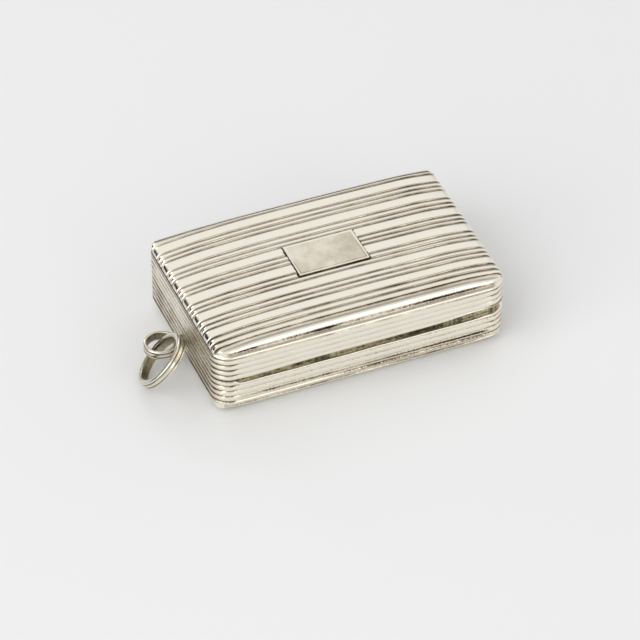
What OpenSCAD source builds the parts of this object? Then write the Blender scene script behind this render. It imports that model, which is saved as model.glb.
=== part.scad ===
// Silver vinaigrette: a small reeded box with a hinged lid, a pierced inner grille, a sponge and a ring.
// The base stands on z = 0, the ring end is at -X, the hinge is at the back (+Y), sizes in millimetres.

/* [Box] */
// Length of the box over the wall reeds
box_l = 32; // [30:0.5:36]
// Width of the box over the wall reeds
box_w = 20.4; // [19.5:0.1:23]
// Height of the base from its flat underside to the seam
base_h = 4.5; // [4.3:0.1:5.5]
// Height of the lid from the seam to its flat top
lid_h = 4.5; // [4.3:0.1:5.5]
// Corner radius of the walls, seen from above
corner_r = 2; // [1.7:0.1:2.1]
// Thickness of the side walls over the reeds
wall_t = 0.6; // [0.56:0.02:0.8]
// Thickness of the top and bottom sheets
sheet_t = 0.55; // [0.5:0.05:0.65]

/* [Cushion form] */
// Radius of the rolled edges
roll_r = 1.3; // [1.2:0.05:1.5]
// Radius of the long shoulder curve before each rolled end
shoulder_r = 26; // [20:1:40]
// Length of each shoulder curve
shoulder_l = 5.2; // [4.8:0.1:6]
// Step in from the wall face to the foot of the rolled edge
rim_inset = 0.28; // [0.2:0.02:0.3]

/* [Reeding] */
// Distance from one group of three grooves to the next
reed_pitch = 2.92; // [2.7:0.02:3.0]
// Distance between the grooves of a group
reed_step = 0.7; // [0.5:0.05:0.75]
// Shift of the lid's reeding toward the back
reed_shift = 0.56; // [0.3:0.02:0.7]
// Half width of a groove
groove_hw = 0.12; // [0.08:0.01:0.16]
// Depth of a groove
groove_d = 0.14; // [0.05:0.01:0.2]
// Number of reeds round each wall
wall_reeds = 4; // [3:1:5]
// Depth of the hollows between the wall reeds
wall_reed_d = 0.14; // [0.08:0.01:0.18]
// Height of the thin rim bead at the foot of the cushion
rim_bead_h = 0.45; // [0.35:0.05:0.6]

/* [Cartouche] */
// Length of the plain name plate on the lid
cartouche_l = 7.7; // [6:0.1:10]
// Width of the plain name plate on the lid
cartouche_w = 4.9; // [4:0.1:7]
// Thickness of the plain name plate
cartouche_t = 0.14; // [0.1:0.02:0.3]

/* [Seam and bezel] */
// Clearance between the lid edge and the base edge
seam_gap = 0.06; // [0.04:0.01:0.1]
// Height of the finger slot along the front seam
slot_h = 0.46; // [0.3:0.02:0.6]
// Length of the finger slot along the front seam
slot_l = 27.4; // [20:0.2:27.6]
// Thickness of the gilt bezel that the lid closes over
bezel_t = 0.35; // [0.3:0.05:0.45]
// Height of the bezel above the seam
bezel_up = 1; // [0.9:0.05:1.2]
// Depth of the bezel below the seam
bezel_down = 1.4; // [1:0.1:1.8]
// Clearance of the lid wall round the bezel
lid_clear = 0.08; // [0.06:0.01:0.1]

/* [Lid hinge] */
// Length of the five knuckles together
hinge_l = 20; // [16:0.5:22]
// Radius of the hinge barrel
barrel_r = 0.65; // [0.6:0.02:0.7]
// Distance of the hinge axis behind the wall face
hinge_out = 0.25; // [0.24:0.01:0.35]
// Radius of the hinge pin
pin_r = 0.28; // [0.2:0.02:0.34]
// Running clearance of the lid knuckles on the pin
pin_clear = 0.03; // [0.02:0.01:0.05]
// Gap between neighbouring knuckles
knuckle_gap = 0.08; // [0.06:0.01:0.12]
// Clearance of the walls round the barrel
barrel_clear = 0.06; // [0.05:0.01:0.08]
// Height of each knuckle's leaf on the wall
leaf_h = 1.3; // [1.1:0.1:1.6]
// Depth to which the leaves are let into the wall
leaf_in = 0.2; // [0.16:0.02:0.24]
// Thickness of the leaves outside the wall face
leaf_out = 0.12; // [0.1:0.01:0.16]
// Distance of the leaves from the seam
leaf_seam = 0.12; // [0.08:0.01:0.2]

/* [Grille] */
// Thickness of the pierced grille
grille_t = 0.35; // [0.3:0.05:0.45]
// Height of the grille's underside above the seam
grille_z = 0.35; // [0.3:0.05:0.4]
// Gap between the grille and the bezel
grille_gap = 0.25; // [0.2:0.05:0.4]
// Radius of the large piercings
hole_r = 0.72; // [0.5:0.02:0.85]
// Radius of the small piercings between them
small_hole_r = 0.43; // [0.3:0.01:0.5]
// Spacing of the piercings
hole_step = 2.6; // [2.4:0.1:3.2]
// Plain border between the piercings and the grille's edges
hole_margin = 1.4; // [1:0.1:2]
// Shift of the piercings toward the front
hole_shift = 0.5; // [0.3:0.1:0.7]
// Radius of the grille's hinge barrel
grille_barrel_r = 0.45; // [0.42:0.01:0.5]
// Gap between the grille's barrel and the bezel
grille_barrel_gap = 0.15; // [0.1:0.01:0.2]
// Gap between the grille's back edge and its lugs
grille_back_gap = 0.1; // [0.08:0.01:0.15]
// Depth to which the knuckle's strap is let into the grille
strap_in = 0.25; // [0.2:0.05:0.5]
// Radius of the grille's pin
grille_pin_r = 0.2; // [0.16:0.02:0.24]
// Length of the grille's middle knuckle
grille_knuckle_l = 8; // [6:0.5:10]
// Length of each lug that carries the grille's pin
lug_l = 3; // [2:0.5:4]
// Height of the block that joins each lug to the bezel
lug_h = 0.6; // [0.4:0.05:0.8]
// Radius of the small tab that lifts the grille
tab_r = 1.1; // [0.8:0.1:1.3]
// Thickness of the lifting tab
tab_t = 0.3; // [0.2:0.05:0.4]
// Length of the ledge under the grille's front edge
ledge_l = 10; // [6:1:14]
// Depth of the ledge from the bezel
ledge_d = 0.65; // [0.5:0.05:0.7]
// Height of the ledge
ledge_h = 0.55; // [0.4:0.05:0.7]
// Gap between the ledge and the closed grille
ledge_gap = 0.02; // [0.02:0.01:0.05]

/* [Sponge] */
// Gap between the sponge and the grille's barrel
sponge_gap = 0.3; // [0.2:0.1:0.8]
// Gap between the sponge and the grille
sponge_top_gap = 0.1; // [0.08:0.02:0.3]
// Height to which the sponge's ends are pared away underneath
sponge_lift = 0.6; // [0.5:0.05:1]
// Distance of the pared ends from the base plate's shoulders
sponge_flat_gap = 0.2; // [0.1:0.1:1]

/* [Ring] */
// Outer radius of the fixed eye at the end
eye_r = 1.8; // [1.76:0.02:1.86]
// Wall thickness of the eye
eye_t = 0.35; // [0.28:0.01:0.36]
// Height of the eye
eye_h = 1; // [0.85:0.05:1.05]
// Distance of the eye's two grooves from its middle
eye_groove_z = 0.25; // [0.2:0.01:0.3]
// Width of each groove in the strip of the eye and the ring
strip_groove_w = 0.16; // [0.1:0.01:0.2]
// Depth of each groove in the strip of the eye and the ring
strip_groove_d = 0.09; // [0.05:0.01:0.12]
// Bevel along the outer edges of the strip
strip_bevel = 0.1; // [0.05:0.01:0.14]
// Distance of the eye's axis from the end wall
eye_out = 2.25; // [2.2:0.05:2.5]
// Depth of the eye's middle below the seam
eye_drop = 1.95; // [1.8:0.05:2.05]
// Width of the eye's solder neck
neck_w = 1; // [0.8:0.1:1.1]
// Inner radius of the jump ring
ring_r = 2.6; // [2.5:0.05:2.65]
// Thickness of the jump ring's strip
ring_t = 0.6; // [0.5:0.02:0.64]
// Width of the jump ring's strip
ring_w = 1; // [0.8:0.05:1.05]
// Distance of the ring's two grooves from its middle
ring_groove_z = 0.25; // [0.2:0.01:0.3]
// Lean of the jump ring from lying flat, degrees
ring_lean = 47; // [46:0.5:48]
// Turn of the jump ring round the eye, degrees
ring_turn = 154; // [152:0.5:155]

/* [Hidden] */
$fn = 64;
// Size of half planes, and overshoot of cuts
big = 100;
cut = 1;
seam = base_h;
half_l = box_l / 2;
half_w = box_w / 2;
// Cushion form: half width of the flat top, foot levels and the flats of the shoulder curve
shoulder_n = 4;
flat_y = half_w - rim_inset - roll_r;
roll_x = half_l - rim_inset - roll_r;
lid_foot = lid_h - roll_r;
base_foot = base_h - roll_r;
flat_x = half_l - shoulder_l;
// Wall reeds spring from this far below the floor of the hollows between them
reed_root = 0.02;
// Inside faces
in_l = half_l - wall_t;
in_w = half_w - wall_t;
bez_l = in_l - bezel_t;
bez_w = in_w - bezel_t;
// Lid hinge
hinge_y = half_w + hinge_out;
knuckle_l = hinge_l / 5;
// Grille
grille_lo = seam + grille_z;
grille_hi = grille_lo + grille_t;
gaxis_y = bez_w - grille_barrel_r - grille_barrel_gap;
gaxis_z = grille_lo + grille_t / 2;
grille_back = gaxis_y - grille_barrel_r - grille_back_gap;
grille_front = -(bez_w - grille_gap);
strap_y = grille_back - strap_in;
lug_x = grille_knuckle_l / 2 + knuckle_gap;
hole_nx = floor((bez_l - grille_gap - hole_margin - hole_r) / hole_step);
hole_ny = floor((bez_w - grille_gap - hole_margin - hole_r) / hole_step);
// Ring: the strip passes through the eye close to its axis, at this place from the eye's middle
eye_x = -half_l - eye_out;
eye_z = seam - eye_drop;
ring_pass = [-0.21, 0.13, -0.38];
ring_n = [sin(ring_lean) * cos(ring_turn), sin(ring_lean) * sin(ring_turn), cos(ring_lean)];
ring_v = [0, 1, 0] - ring_n[1] * ring_n;
ring_c = [eye_x, 0, eye_z] + ring_pass - (ring_r + ring_t / 2) * ring_v / norm(ring_v);

silver = [0.82, 0.8, 0.76];
gilt = [0.84, 0.68, 0.36];
dull = [0.7, 0.68, 0.6];
soft = [0.86, 0.78, 0.6];

// Shared forms

// Outline across the box: flat in the middle, a quarter round of radius r at each edge
module rolled_outline(flat, r) {
    intersection() {
        union() {
            translate([-flat, 0])
                square([2 * flat, r]);
            translate([-flat, 0])
                circle(r);
            translate([flat, 0])
                circle(r);
        }
        translate([-big / 2, 0])
            square([big, big]);
    }
}

// Block with rolled edges all round, standing on z = 0
module rolled_block(r) {
    translate([-roll_x, 0, 0])
        rotate([90, 0, 90])
            linear_extrude(2 * roll_x)
                rolled_outline(flat_y, r);
    for (m = [0, 1])
        mirror([m, 0, 0])
            translate([roll_x, 0, 0])
                rotate([90, 0, 0])
                    rotate_extrude(angle = 90)
                        rotate(-90)
                            rolled_outline(flat_y, r);
}

// Place i of the shoulder curve, out from the end of the flat top and down from it
function out(i) = flat_x + i * shoulder_l / shoulder_n;
function sag(i) = pow(out(i) - flat_x, 2) / (2 * shoulder_r);

// Outline along the box: flat in the middle, falling away over the shoulders, lowered by d
module shoulder_outline(d) {
    polygon([[-half_l, -cut], [half_l, -cut],
        for (i = [shoulder_n : -1 : 0]) [out(i), roll_r - d - sag(i)],
        for (i = [0 : shoulder_n]) [-out(i), roll_r - d - sag(i)]]);
}

// Cushion-form solid, lowered by d all over
module cushion_block(d) {
    intersection() {
        rolled_block(roll_r - d);
        translate([0, big / 2, 0])
            rotate([90, 0, 0])
                linear_extrude(big)
                    shoulder_outline(d);
    }
}

// Groove at a place counted along the outline from the middle; it follows the length of the box
module groove(y) {
    side = y < 0 ? -1 : 1;
    turn = max(abs(y) - flat_y, 0) / roll_r * 180 / PI;
    at = side * (min(abs(y), flat_y) + roll_r * sin(turn));
    d = groove_d + roll_r * (1 - cos(turn));
    translate([0, at + groove_hw, 0])
        rotate([90, 0, 0])
            linear_extrude(2 * groove_hw)
                difference() {
                    translate([-half_l, 0])
                        square([box_l, roll_r + cut]);
                    intersection() {
                        rolled_outline(roll_x, roll_r - d);
                        shoulder_outline(d);
                    }
                }
}

// Cushion-form sheet standing on its foot at z = 0
module cushion(shift, edges) {
    difference() {
        cushion_block(0);
        cushion_block(sheet_t);
        for (k = [-3 : 2])
            for (j = [-1 : 1])
                groove(shift + k * reed_pitch + j * reed_step);
        for (y = edges)
            groove(y);
    }
}

// Reed of the wall: a shallow arc of height c on the wall face, from height z
module wall_reed(z, c) {
    d = wall_reed_d + reed_root;
    r = (c * c / 4 + d * d) / (2 * d);
    intersection() {
        translate([-r, z + c / 2])
            circle(r);
        translate([-d - reed_root, z])
            square([d + 2 * reed_root, c]);
    }
}

// Section of a wall, outward to the right, from the seam at y = 0 up to the foot of the cushion
module wall_profile(foot, thick) {
    c = (foot - seam_gap / 2 - rim_bead_h) / wall_reeds;
    translate([-wall_t, seam_gap / 2])
        translate([wall_t - thick, 0])
            square([thick - wall_reed_d, foot - seam_gap / 2]);
    for (i = [0 : wall_reeds - 1])
        wall_reed(seam_gap / 2 + i * c, c);
    wall_reed(foot - rim_bead_h, rim_bead_h);
}

// Straight lengths and quarter turns round the box
module wall_ring(foot, thick) {
    run_x = box_l - 2 * corner_r;
    run_y = box_w - 2 * corner_r;
    for (m = [0, 1])
        rotate([0, 0, 180 * m]) {
            translate([half_l, run_y / 2, 0])
                rotate([90, 0, 0])
                    linear_extrude(run_y)
                        wall_profile(foot, thick);
            rotate([0, 0, 90])
                translate([half_w, run_x / 2, 0])
                    rotate([90, 0, 0])
                        linear_extrude(run_x)
                            wall_profile(foot, thick);
            translate([run_x / 2, run_y / 2, 0])
                rotate_extrude(angle = 90)
                    translate([corner_r, 0])
                        wall_profile(foot, thick);
            translate([-run_x / 2, run_y / 2, 0])
                rotate([0, 0, 90])
                    rotate_extrude(angle = 90)
                        translate([corner_r, 0])
                            wall_profile(foot, thick);
        }
}

// Rounded rectangle seen from above
module rounded(hl, hw, r) {
    square([2 * (hl - r), 2 * hw], center = true);
    square([2 * hl, 2 * (hw - r)], center = true);
    for (x = [-1, 1])
        for (y = [-1, 1])
            translate([x * (hl - r), y * (hw - r)])
                circle(r);
}

// Finger slot along the front seam
module finger_slot() {
    translate([-slot_l / 2, -half_w - cut, -slot_h / 2])
        cube([slot_l, wall_t + cut, slot_h]);
}

// Room for the hinge barrel in both walls
module barrel_room() {
    translate([-hinge_l / 2 - barrel_clear, hinge_y, 0])
        rotate([0, 90, 0])
            cylinder(r = barrel_r + barrel_clear, h = hinge_l + 2 * barrel_clear);
}

// Pocket for the leaf of knuckle i, above the seam (up = 1) or below it (up = -1)
module leaf_pocket(i, up) {
    translate([knuckle_x(i), half_w - leaf_in, up > 0 ? 0 : -leaf_h])
        cube([knuckle_l - knuckle_gap, leaf_in + cut, leaf_h]);
}

function knuckle_x(i) = -hinge_l / 2 + i * knuckle_l + knuckle_gap / 2;

// Knuckle i with its leaf, on the seam line
module knuckle(i, up, bore) {
    len = knuckle_l - knuckle_gap;
    translate([knuckle_x(i), 0, seam])
        difference() {
            union() {
                translate([0, hinge_y, 0])
                    rotate([0, 90, 0])
                        cylinder(r = barrel_r, h = len);
                translate([0, half_w - leaf_in, up > 0 ? leaf_seam : -leaf_h])
                    cube([len, leaf_in + leaf_out, leaf_h - leaf_seam]);
            }
            translate([-cut, hinge_y, 0])
                rotate([0, 90, 0])
                    cylinder(r = bore, h = len + 2 * cut);
        }
}

// Base

module base_plate() {
    color(silver)
        translate([0, 0, roll_r])
            mirror([0, 0, 1])
                cushion(reed_pitch / 2, []);
}

module base_wall() {
    color(silver)
        translate([0, 0, seam])
            difference() {
                mirror([0, 0, 1])
                    wall_ring(base_foot, wall_t);
                finger_slot();
                barrel_room();
                for (i = [0, 2, 4])
                    leaf_pocket(i, -1);
                neck_pocket();
            }
}

// Flat seat for the eye's neck on the end wall
module neck_pocket() {
    translate([-half_l - cut, -neck_w / 2, -eye_drop - eye_h / 2])
        cube([cut + wall_reed_d, neck_w, eye_h]);
}

module base_bezel() {
    r = corner_r - wall_t;
    color(gilt)
        translate([0, 0, seam - bezel_down])
            linear_extrude(bezel_down + bezel_up)
                difference() {
                    rounded(in_l, in_w, r);
                    rounded(bez_l, bez_w, r - bezel_t);
                }
}

module base_knuckle_left() {
    color(silver)
        knuckle(0, -1, pin_r);
}

module base_knuckle_centre() {
    color(silver)
        knuckle(2, -1, pin_r);
}

module base_knuckle_right() {
    color(silver)
        knuckle(4, -1, pin_r);
}

module lid_hinge_pin() {
    color(silver)
        translate([-hinge_l / 2, hinge_y, seam])
            rotate([0, 90, 0])
                cylinder(r = pin_r, h = hinge_l);
}

module grille_ledge() {
    color(gilt)
        translate([-ledge_l / 2, -bez_w, grille_lo - ledge_gap - ledge_h])
            cube([ledge_l, ledge_d, ledge_h]);
}

// Lug i: barrel with a block back to the bezel
module lug(x) {
    color(gilt)
        difference() {
            union() {
                translate([x, gaxis_y, gaxis_z])
                    rotate([0, 90, 0])
                        cylinder(r = grille_barrel_r, h = lug_l);
                translate([x, gaxis_y, gaxis_z - lug_h / 2])
                    cube([lug_l, bez_w - gaxis_y, lug_h]);
            }
            translate([x - cut, gaxis_y, gaxis_z])
                rotate([0, 90, 0])
                    cylinder(r = grille_pin_r, h = lug_l + 2 * cut);
        }
}

module grille_lug_left() {
    lug(-lug_x - lug_l);
}

module grille_lug_right() {
    lug(lug_x);
}

module grille_pin() {
    color(gilt)
        translate([-lug_x - lug_l, gaxis_y, gaxis_z])
            rotate([0, 90, 0])
                cylinder(r = grille_pin_r, h = 2 * (lug_x + lug_l));
}

// Sponge: a block in front of the grille's barrel, with the same margin all round, pared at its ends
module sponge() {
    hw = gaxis_y - grille_barrel_r - sponge_gap;
    hl = bez_l - bez_w + hw;
    top = grille_lo - sponge_top_gap;
    x = flat_x - sponge_flat_gap;
    end = sheet_t + sponge_lift;
    color(soft)
        translate([0, hw, 0])
            rotate([90, 0, 0])
                linear_extrude(2 * hw)
                    polygon([[-x, sheet_t], [x, sheet_t], [hl, end], [hl, top], [-hl, top], [-hl, end]]);
}

// Section of the reeded strip of the eye and the ring: flat inside at x = r, two grooves on the outside
module strip(r, t, w, place) {
    g = strip_groove_w / 2;
    b = strip_bevel;
    difference() {
        translate([r, 0])
            polygon([[0, -w / 2], [t - b, -w / 2], [t, b - w / 2], [t, w / 2 - b], [t - b, w / 2], [0, w / 2]]);
        for (s = [-1, 1])
            translate([r + t, s * place])
                polygon([[cut, -g], [0, -g], [-strip_groove_d, 0], [0, g], [cut, g]]);
    }
}

module suspension_eye() {
    color(dull)
        translate([eye_x, 0, eye_z]) {
            rotate_extrude()
                strip(eye_r - eye_t, eye_t, eye_h, eye_groove_z);
            difference() {
                translate([eye_r - eye_t, -neck_w / 2, -eye_h / 2])
                    cube([eye_out + wall_reed_d - eye_r + eye_t, neck_w, eye_h]);
                cylinder(r = eye_r - eye_t / 2, h = eye_h + 2 * cut, center = true);
            }
        }
}

// Lid

module lid_top() {
    color(silver)
        translate([0, 0, seam + lid_foot])
            cushion(reed_shift, [reed_shift - 3 * reed_pitch - 2 * reed_step, flat_y]);
}

module lid_wall() {
    color(silver)
        translate([0, 0, seam])
            difference() {
                wall_ring(lid_foot, wall_t - lid_clear);
                finger_slot();
                barrel_room();
                for (i = [1, 3])
                    leaf_pocket(i, 1);
            }
}

module cartouche() {
    color(silver)
        translate([-cartouche_l / 2, -cartouche_w / 2, seam + lid_h])
            cube([cartouche_l, cartouche_w, cartouche_t]);
}

module lid_knuckle_left() {
    color(silver)
        knuckle(1, 1, pin_r + pin_clear);
}

module lid_knuckle_right() {
    color(silver)
        knuckle(3, 1, pin_r + pin_clear);
}

// Grille

module grille_plate() {
    hl = bez_l - grille_gap;
    k = grille_knuckle_l / 2;
    color(gilt)
        translate([0, 0, grille_lo])
            linear_extrude(grille_t)
                difference() {
                    translate([-hl, grille_front])
                        square([2 * hl, grille_back - grille_front]);
                    translate([-k, strap_y])
                        square([2 * k, strap_in + cut]);
                    for (i = [-hole_nx : hole_nx])
                        for (j = [-hole_ny : hole_ny])
                            translate([i * hole_step, j * hole_step - hole_shift])
                                circle((i + j) % 2 == 0 ? hole_r : small_hole_r);
                }
}

module grille_knuckle() {
    k = grille_knuckle_l / 2;
    color(gilt)
        difference() {
            union() {
                translate([-k, gaxis_y, gaxis_z])
                    rotate([0, 90, 0])
                        cylinder(r = grille_barrel_r, h = 2 * k);
                translate([-k, strap_y, grille_lo])
                    cube([2 * k, gaxis_y - strap_y, grille_t]);
            }
            translate([-k - cut, gaxis_y, gaxis_z])
                rotate([0, 90, 0])
                    cylinder(r = grille_pin_r + pin_clear, h = 2 * k + 2 * cut);
        }
}

module grille_tab() {
    color(gilt)
        translate([0, grille_front, grille_hi])
            intersection() {
                cylinder(r = tab_r, h = tab_t);
                translate([-tab_r - cut, 0, -cut])
                    cube([2 * (tab_r + cut), tab_r + cut, tab_t + 2 * cut]);
            }
}

// Ring

module jump_ring() {
    color(dull)
        translate(ring_c)
            rotate([0, ring_lean, ring_turn])
                rotate_extrude()
                    strip(ring_r, ring_t, ring_w, ring_groove_z);
}

base_plate();
base_wall();
base_bezel();
base_knuckle_left();
base_knuckle_centre();
base_knuckle_right();
lid_hinge_pin();
grille_ledge();
grille_lug_left();
grille_lug_right();
grille_pin();
sponge();
suspension_eye();
lid_top();
lid_wall();
cartouche();
lid_knuckle_left();
lid_knuckle_right();
grille_plate();
grille_knuckle();
grille_tab();
jump_ring();
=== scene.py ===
import math

import bpy
import numpy as np
from mathutils import Matrix, Vector, noise


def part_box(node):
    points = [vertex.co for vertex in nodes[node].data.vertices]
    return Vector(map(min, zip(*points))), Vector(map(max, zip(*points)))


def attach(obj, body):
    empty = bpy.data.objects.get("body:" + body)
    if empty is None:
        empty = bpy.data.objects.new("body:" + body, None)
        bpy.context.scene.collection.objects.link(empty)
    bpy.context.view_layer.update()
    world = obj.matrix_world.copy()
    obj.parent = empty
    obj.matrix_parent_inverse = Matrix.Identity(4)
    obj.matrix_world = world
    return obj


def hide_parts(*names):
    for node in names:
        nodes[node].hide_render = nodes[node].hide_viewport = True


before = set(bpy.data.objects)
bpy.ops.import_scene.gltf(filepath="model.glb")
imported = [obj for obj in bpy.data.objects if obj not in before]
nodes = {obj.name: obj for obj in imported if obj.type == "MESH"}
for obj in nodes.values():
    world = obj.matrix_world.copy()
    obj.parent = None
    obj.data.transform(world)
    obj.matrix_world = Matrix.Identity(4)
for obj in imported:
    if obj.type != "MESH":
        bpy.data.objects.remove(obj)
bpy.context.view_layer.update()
MM = 0.001

# Sizes in millimetres, the same as in the part's source
FACE_X, FACE_Y = 16.0, 10.2
CORNER_R = 2.0
SEAM = 4.5
LID_H = 4.5
ROLL_R = 1.3
RIM_INSET = 0.28
SHOULDER_R, SHOULDER_L = 26.0, 5.2
WALL_REEDS, WALL_REED_D = 4, 0.14
BEAD_H = 0.45
SEAM_GAP = 0.06
HINGE_Y, HINGE_L = 10.45, 20.0
BARREL_R, BARREL_CLEAR = 0.65, 0.06
EYE = Vector((-18.25, 0.0, 2.55))
EYE_IN, EYE_T, EYE_W = 1.45, 0.35, 1.0
RING_IN, RING_T, RING_W = 2.6, 0.6, 1.0
RING_LEAN, RING_TURN = math.radians(47), math.radians(154)
RING_PASS = Vector((-0.21, 0.13, -0.38))
STRIP_GROOVE = 0.25

# Places worked out from them: corner centres, edges of the flat top, and the foot of the lid's cushion
RUN_X, RUN_Y = FACE_X - CORNER_R, FACE_Y - CORNER_R
FLAT_X, FLAT_Y = FACE_X - SHOULDER_L, FACE_Y - RIM_INSET - ROLL_R
LID_FOOT = SEAM + LID_H - ROLL_R
PLATE_LOW, PLATE_HIGH = (Vector(c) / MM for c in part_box("cartouche"))

# Places closer together than this count as the same
TOUCH = 0.001


# Colours and nodes

# Sockets of a mix node: its two colours, their mix, and its two plain values
COLOUR_A, COLOUR_B, COLOUR_OUT = 6, 7, 2
VALUE_A, VALUE_B = 2, 3


def srgb(code):
    """Linear colour of an sRGB hex value."""
    parts = [int(code[i:i + 2], 16) / 255 for i in (1, 3, 5)]
    return [c / 12.92 if c <= 0.04045 else ((c + 0.055) / 1.055) ** 2.4 for c in parts] + [1.0]


def join(tree, node, links):
    """Links sources to a node's inputs. A node given as a source stands for its first output."""
    for key, source in links.items():
        socket = source.outputs[0] if isinstance(source, bpy.types.Node) else source
        tree.links.new(socket, node.inputs[key])


def add(tree, kind, links=None, values=None, **settings):
    """Adds a shader node with its links, constant values and settings, and gives it back."""
    node = tree.nodes.new("ShaderNode" + kind)
    for key, value in settings.items():
        setattr(node, key, value)
    for key, value in (values or {}).items():
        node.inputs[key].default_value = value
    join(tree, node, links or {})
    return node


def new_material(name):
    """An empty material with its principled shader and its coordinates in millimetres."""
    material = bpy.data.materials.new(name)
    material.use_nodes = True
    tree = material.node_tree
    tree.nodes.clear()
    shader = add(tree, "BsdfPrincipled")
    add(tree, "OutputMaterial", {"Surface": shader})
    coords = add(tree, "TexCoord")
    place = add(tree, "VectorMath", {0: coords.outputs["Object"]}, {"Scale": 1 / MM}, operation="SCALE")
    return material, tree, shader, place


def set_ramp(node, stops):
    """Sets a colour ramp's stops from (position, hex colour)."""
    ramp = node.color_ramp
    while len(ramp.elements) < len(stops):
        ramp.elements.new(1.0)
    for element, (position, code) in zip(ramp.elements, stops):
        element.position = position
        element.color = srgb(code)


# Materials

TARNISH = [(0.0, "#F4EFE2"), (0.2, "#E9E2D2"), (0.4, "#C8BCA8"), (0.6, "#968878"), (0.8, "#665A50"),
           (1.0, "#2C2622")]
STRIP_TARNISH = [(0.0, "#F2EEE4"), (0.2, "#DDD8C8"), (0.42, "#A9A28C"), (0.62, "#756E5E"), (0.82, "#443F37"),
                 (1.0, "#24211C")]
GILT = [(0.3, "#8A6C38"), (0.42, "#C49A4E"), (0.52, "#E0BA6C"), (0.7, "#F0D698")]
SEAM_GRIME = [(0.38, "#29261E"), (0.45, "#524F41"), (0.5, "#86826F"), (0.56, "#B9B49F"), (0.64, "#D8D3BF")]
STRAW = [(0.02, "#7A6238"), (0.12, "#B99B63"), (0.3, "#DCC593")]

# Grain of the tarnish where it is even, and the places on the front between which it turns ragged
EVEN_GRAIN = 0.12
RAGGED_Y, EVEN_Y = -9.75, -9.45
# Height of the finest scratches, in metres
SCRATCH_H = 0.03 * MM


def tarnish(tree, place, depth, grain, ragged):
    """How dark the silver is: the darkening given, tarnish in the hollows with some painted shade, uneven in
    patches about 3.6 mm long and in grains.
    """
    patch = add(tree, "TexNoise", {"Vector": place}, {"Scale": 0.28, "Detail": 3.0, "Roughness": 0.6})
    patch = add(tree, "MapRange", {"Value": patch},
                {"From Min": 0.3, "From Max": 0.7, "To Min": -0.3, "To Max": 0.26})
    grain = add(tree, "MapRange", {"Value": grain}, {"From Min": 0.3, "From Max": 0.7, "To Min": -1.0})
    axes = add(tree, "SeparateXYZ", {0: place})
    coarse = add(tree, "MapRange", {"Value": axes.outputs["Y"]},
                 {"From Min": RAGGED_Y, "From Max": EVEN_Y, "To Min": ragged, "To Max": EVEN_GRAIN})
    grain = add(tree, "Math", {0: grain, 1: coarse}, operation="MULTIPLY")
    spread = add(tree, "Math", {0: patch, 1: grain}, operation="ADD")
    # Both count only where some tarnish is left
    weight = add(tree, "Math", {0: depth}, {1: 1.6}, operation="MULTIPLY", use_clamp=True)
    spread = add(tree, "Math", {0: spread, 1: weight}, operation="MULTIPLY")
    return add(tree, "Math", {0: depth, 1: spread}, operation="ADD")


def old_pits(tree, place, strength):
    """Small dark pits left by old tarnish, about half a millimetre across."""
    stretch = add(tree, "Mapping", {"Vector": place}, {"Scale": (0.8, 1.5, 1.5)})
    pits = add(tree, "TexNoise", {"Vector": stretch}, {"Scale": 1.6, "Detail": 5.0, "Roughness": 0.75})
    return add(tree, "MapRange", {"Value": pits}, {"From Min": 0.6, "From Max": 0.72, "To Max": strength})


def worn_silver(name, hollow, base=0.0, rough=0.17, stops=TARNISH, inside=None, pits=0.0, ragged=EVEN_GRAIN):
    """Hand-polished sterling silver: soft bright reflections, brown tarnish left in the hollows, fine
    polishing streaks, and gilding where a mask for the inside of the box is given."""
    material, tree, shader, place = new_material(name)
    # Grains of tarnish are about 0.2 mm
    grain = add(tree, "TexNoise", {"Vector": place}, {"Scale": 5.0, "Detail": 3.0, "Roughness": 0.65})
    amount = tarnish(tree, place, hollow(tree, place), grain, ragged)
    if pits:
        amount = add(tree, "Math", {0: amount, 1: old_pits(tree, place, pits)}, operation="ADD")
    amount = add(tree, "Math", {0: amount}, {1: base}, operation="ADD", use_clamp=True)
    tint = add(tree, "ValToRGB", {"Fac": amount})
    set_ramp(tint, stops)
    # Smudges of about 1.7 mm change the polish, and tarnish dulls it
    smudge = add(tree, "TexNoise", {"Vector": place}, {"Scale": 0.6, "Detail": 4.0, "Roughness": 0.55})
    gloss = add(tree, "MapRange", {"Value": smudge},
                {"From Min": 0.3, "From Max": 0.7, "To Min": rough - 0.05, "To Max": rough + 0.09})
    dull = add(tree, "Math", {0: amount}, {1: 0.32}, operation="MULTIPLY")
    gloss = add(tree, "Math", {0: gloss, 1: dull}, operation="ADD", use_clamp=True)
    # Polishing streaks run along the reeds, about 0.1 mm apart
    stretch = add(tree, "Mapping", {"Vector": place}, {"Scale": (0.25, 9.0, 9.0)})
    streaks = add(tree, "TexNoise", {"Vector": stretch}, {"Scale": 1.0, "Detail": 4.0, "Roughness": 0.6})
    bump = add(tree, "Bump", {"Height": streaks}, {"Strength": 0.12, "Distance": SCRATCH_H})
    bump = add(tree, "Bump", {"Height": grain, "Normal": bump}, {"Strength": 0.08, "Distance": SCRATCH_H})
    if inside:
        gold = add(tree, "Mix", {"Factor": smudge}, {COLOUR_A: srgb("#D9B36A"), COLOUR_B: srgb("#E8CB8C")},
                   data_type="RGBA")
        both = {"Factor": inside(tree, place), COLOUR_A: tint, COLOUR_B: gold.outputs[COLOUR_OUT]}
        tint = add(tree, "Mix", both, data_type="RGBA").outputs[COLOUR_OUT]
    join(tree, shader, {"Base Color": tint, "Roughness": gloss, "Normal": bump})
    shader.inputs["Metallic"].default_value = 1.0
    return material


def carved(tree, place):
    """How dark a point is painted, kept on the mesh as an attribute: tarnish in the grooves, with painted
    shade in places.
    """
    return add(tree, "Attribute", attribute_name="hollow").outputs["Fac"]


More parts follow.
